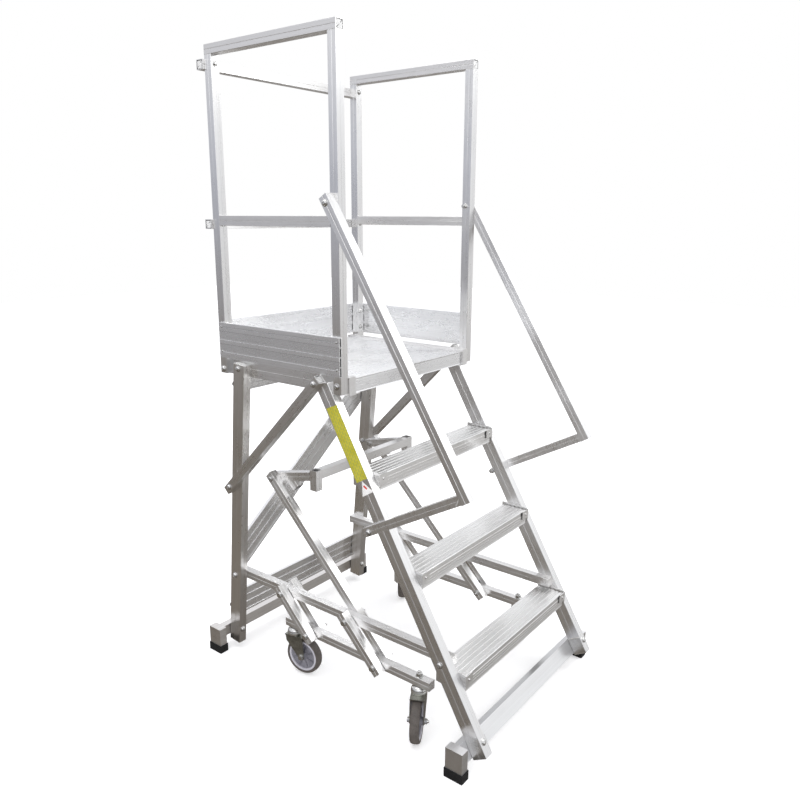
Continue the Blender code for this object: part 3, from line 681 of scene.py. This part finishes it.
def build_plugs():
    rail = Vector((0, -0.5525, -0.8790)).normalized()
    brace = Vector((0, 0.0243 - 0.4888, 1.2031 - 0.7326)).normalized()
    for name, s in SIDES.items():
        for end in ENDS:
            plug("post_%s_%s" % (end, name), "post_%s_%s" % (end, name), -Z, Y, 0.0350, 0.0350,
                 "frame")
            way = -Y if end == "front" else Y
            plug("top_rail_%s_%s" % (end, name), "top_rail_" + name, way, Z, 0.0350, 0.0330,
                 "frame")
        plug("base_rail_" + name, "base_rail_" + name, Y, Z, 0.0317, 0.0325, "frame")
        plug("castor_rail_" + name, "castor_rail_" + name, Y, Z, 0.0317, 0.0330,
             "castor_rail_" + name)
        plug("brace_top_" + name, "side_brace_" + name, brace, X, 0.0325, 0.0320, "frame")
        plug("brace_low_" + name, "side_brace_" + name, -brace, X, 0.0325, 0.0320, "frame")
        plug("handrail_top_" + name, "handrail_" + name, -rail, X, 0.0350, 0.0350, "frame")
        plug("stringer_head_" + name, "stringer_" + name, STAIR, X, 0.0555, 0.0350, "frame")
        plug("leg_head_" + name, "rear_leg_" + name, LEAN, X, 0.0579, 0.0350, "frame")
        for level in ("top", "mid"):
            plug("rear_%s_rail_%s" % (level, name), "rear_%s_rail" % level, X * s, Z, 0.0330,
                 0.0330, "frame")


def build_board_webs():
    """Webs that divide the open ends of the toe boards into chambers."""
    for name, s in SIDES.items():
        for node, way in (("toe_board_" + name, -Y), ("toe_board_" + name, Y),
                          ("toe_board_rear", X * s)):
            low, high = (Vector(p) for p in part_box(node))
            centre = (low + high) / 2
            work = bmesh.new()
            for i in range(1, 4):
                z = low.z + (high.z - low.z) * i / 4
                place = Vector((centre.x, centre.y, z))
                if abs(way.y) > 0.5:
                    place.y = (low.y if way.y < 0 else high.y) - way.y * WEB_DEPTH
                    place.x = centre.x - s * WEB_OFFSET
                else:
                    place.x = (low.x if way.x < 0 else high.x) - way.x * WEB_DEPTH
                    place.y = centre.y - WEB_OFFSET
                bar(work, basis(way, Z), place, WEB_SIZE, 0.0004)
            side = "front" if way.y < -0.5 else "rear" if way.y > 0.5 else "end"
            webs = finish_mesh("board_webs_%s_%s_%s" % (node, side, name), work)
            attach(webs, "frame", drawn_metal("plank", Z))


def build_welds(shift):
    for name, s in SIDES.items():
        corner = Vector((s * 0.4265, -0.5600 + shift, 0.9260))
        bead("strut_out_" + name, corner + Vector((0, -0.006, 0.016)),
             corner + Vector((0, 0.006, -0.014)), "frame", 0.0022)
        for end, ys, top in (("front", (-0.6220, -0.5565), 0.1070),
                             ("rear", (0.5567, 0.6220), 0.1045)):
            x = s * 0.4262
            for key, y in (("a", ys[0] + 0.006), ("b", ys[1] - 0.006)):
                bead("foot_%s_%s_%s" % (end, key, name), (x, y + shift, 0.048),
                     (x, y + shift, top - 0.006), "frame", 0.0021)


def build_foot_sleeves():
    """Thin wrap on the inner face of each stringer foot, welded along its upper edge."""
    for name, s in SIDES.items():
        foot = end_of("stringer_" + name, -STAIR)
        inner = Vector((s * FRAME_IN, foot.y, foot.z))
        work = bmesh.new()
        bar(work, basis(STAIR, STAIR_IN), inner + STAIR * 0.0330 - X * s * 0.0008,
            (0.0014, 0.0545, 0.0620), 0.0004)
        attach(finish_mesh("foot_sleeve_" + name, work), "frame", drawn_metal("bracket", X))
        across = STAIR_IN * 0.0250
        top = inner + STAIR * 0.0645 - X * s * 0.0010
        bead("foot_sleeve_" + name, top - across, top + across, "frame", 0.0022)


def build_labels(shift):
    """Plain yellow strip and plain white triangle on the outer face of the left stringer."""
    outer = -0.3942
    strip = [(-0.0044, 1.1186), (-0.0519, 1.1383), (-0.1828, 0.9092), (-0.1370, 0.8830)]
    triangle = [(-0.1600, 0.8940), (-0.2095, 0.8690), (-0.1630, 0.8400)]
    dash = [(-0.1690, 0.8830), (-0.1835, 0.8750), (-0.1800, 0.8690), (-0.1655, 0.8770)]
    for name, outline, lift, paint in (
            ("label_strip", strip, 0.0004, label_yellow(STAIR)),
            ("label_triangle", triangle, 0.0004,
             label_plain("label_white", (0.62, 0.60, 0.58), (0.84, 0.83, 0.82))),
            ("label_dash", dash, 0.0006,
             label_plain("label_red", (0.48, 0.02, 0.015), (0.68, 0.03, 0.02)))):
        centre = Vector((0, *(sum(p[i] for p in outline) / len(outline) for i in (0, 1))))
        rings = []
        for x, grow in ((outer + 0.0001, 1.0), (outer - lift * 0.6, 1.0), (outer - lift, 0.985)):
            rings.append([Vector((x, (y - centre.y) * grow + centre.y + shift,
                                  (z - centre.z) * grow + centre.z)) for y, z in outline])
        work = bmesh.new()
        loft(work, rings)
        attach(finish_mesh(name, work), "frame", paint)


# ---------------------------------------------------------------- castor carriage
def build_carriage_bolts(shift):
    for name, s in SIDES.items():
        pivots = (("rear_high", 0.262, 0.337, "rear_link_" + name),
                  ("rear_low", 0.131, 0.206, "rear_link_" + name),
                  ("front_high", -0.067, 0.337, "lever"), ("front_low", -0.198, 0.206, "lever"))
        for key, y, z, body in pivots:
            bolt("pivot_%s_%s" % (key, name), (s * LINK_OUT, y + shift, z), X * s, body, "hex")
            bolt("pivot_%s_nut_%s" % (key, name), (s * LEVER_IN, y + shift, z), X * -s, body,
                 "nut", 1.4)
        bolt("lever_top_" + name, (s * LEVER_OUT, 0.3640 + shift, 0.7660), X * s, "lever", "dome")
        bolt("lever_top_nut_" + name, (s * HANDLE_IN, 0.3640 + shift, 0.7660), X * -s, "lever",
             "hex", 1.4)
        for end in ENDS:
            x, y = JOINTS["swivel_%s_%s" % (end, name)]["pos_m"][:2]
            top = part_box("castor_rail_" + name)[1][2]
            bolt("castor_stem_%s_%s" % (end, name), (x, y, top), Z, "castor_rail_" + name,
                 "nut", 1.75, 0.4)


def build_castor(end, name):
    tag = "%s_%s" % (end, name)
    stem = Vector(JOINTS["swivel_" + tag]["pos_m"])
    roll = JOINTS["roll_" + tag]
    hub, axle = Vector(roll["pos_m"]), Vector(roll["axis"]).normalized()
    turn = basis(axle, Z)

    # tyre, rim and hub stand for the wheel of the CAD
    work = bmesh.new()
    half, radius = 0.0165, 0.0750
    tyre = [(0.0618, -half * 0.88), (0.0640, -half * 0.97), (0.0690, -half), (0.0715, -half * 0.92),
            (0.0735, -half * 0.70), (0.0747, -half * 0.38), (radius, 0.0)]
    tyre += [(r, -h) for r, h in reversed(tyre[:-1])]
    ring_lathe(work, turn, hub, tyre, 96)
    piece = attach(finish_mesh("castor_tyre_" + tag, work, 45), "wheel_" + tag, tyre_rubber())
    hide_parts("castor_wheel_" + tag)
    work = bmesh.new()
    rim = [(0.0535, 0.0105), (0.0545, 0.0142), (0.0562, 0.0152), (0.0612, 0.0148),
           (0.0625, 0.0138)]
    rim += [(r, -h) for r, h in reversed(rim)]
    ring_lathe(work, turn, hub, rim, 96)
    attach(finish_mesh("castor_rim_" + tag, work, 40), "wheel_" + tag, rim_plastic())
    work = bmesh.new()
    disc = [(0.0062, 0.0215), (0.0120, 0.0215), (0.0136, 0.0205), (0.0142, 0.0130),
            (0.0180, 0.0085), (0.0430, 0.0078), (0.0500, 0.0098), (0.0540, 0.0105)]
    disc += [(r, -h) for r, h in reversed(disc)]
    ring_lathe(work, turn, hub, disc, 96)
    for side in (-1, 1):
        for i in range(8):
            a = 2 * math.pi * (i + 0.5) / 8
            spoke = turn @ Vector((math.cos(a), math.sin(a), 0))
            bar(work, basis(spoke, axle), hub + spoke * 0.0330 + axle * side * 0.0088,
                (0.0030, 0.0050, 0.0340), 0.0006)
    attach(finish_mesh("castor_hub_" + tag, work, 40), "wheel_" + tag, hub_plastic())

    # domed cover and ball race over the plain discs of the CAD fork
    body = "castor_" + tag
    base = Vector((stem.x, stem.y, 0))
    up = basis(Z)
    work = bmesh.new()
    lathe(work, up, base, [(0.0270, 0.1616), (0.0286, 0.1622), (0.0290, 0.1665), (0.0286, 0.1705),
                           (0.0278, 0.1728)], 48)
    attach(finish_mesh("castor_race_" + tag, work, 40), body, zinc())
    work = bmesh.new()
    lathe(work, up, base, [(0.0274, 0.1730), (0.0280, 0.1738), (0.0276, 0.1770), (0.0258, 0.1812),
                           (0.0226, 0.1848), (0.0180, 0.1872), (0.0150, 0.1880)], 48)
    attach(finish_mesh("castor_dome_" + tag, work, 50), body, bright_zinc())
    for side, kind in ((-1, "hex"), (1, "nut")):
        bolt("castor_axle_%s_%s" % ("a" if side < 0 else "b", tag), hub + axle * side * 0.0257,
             axle * side, body, kind, 1.4)


def ring_lathe(work, turn, centre, profile, segments):
    """Closed ring with an open middle: the last point of the profile joins the first."""
    rows = [[work.verts.new(p) for p in round_ring(turn, centre, r, h, segments)]
            for r, h in profile]
    for near, far in zip(rows, rows[1:] + rows[:1]):
        for i in range(segments):
            j = (i + 1) % segments
            work.faces.new((near[i], near[j], far[j], far[i]))


# ---------------------------------------------------------------- assembly
build_camera()
build_world()
build_lights()
build_floor()
finish_nodes()
y_shift = build_frame_bolts()
build_tread_details(y_shift)
build_plugs()
build_board_webs()
build_welds(y_shift)
build_foot_sleeves()
build_labels(y_shift)
build_carriage_bolts(y_shift)
for end in ENDS:
    for name in SIDES:
        build_castor(end, name)

bpy.context.scene.view_settings.view_transform = "Standard"
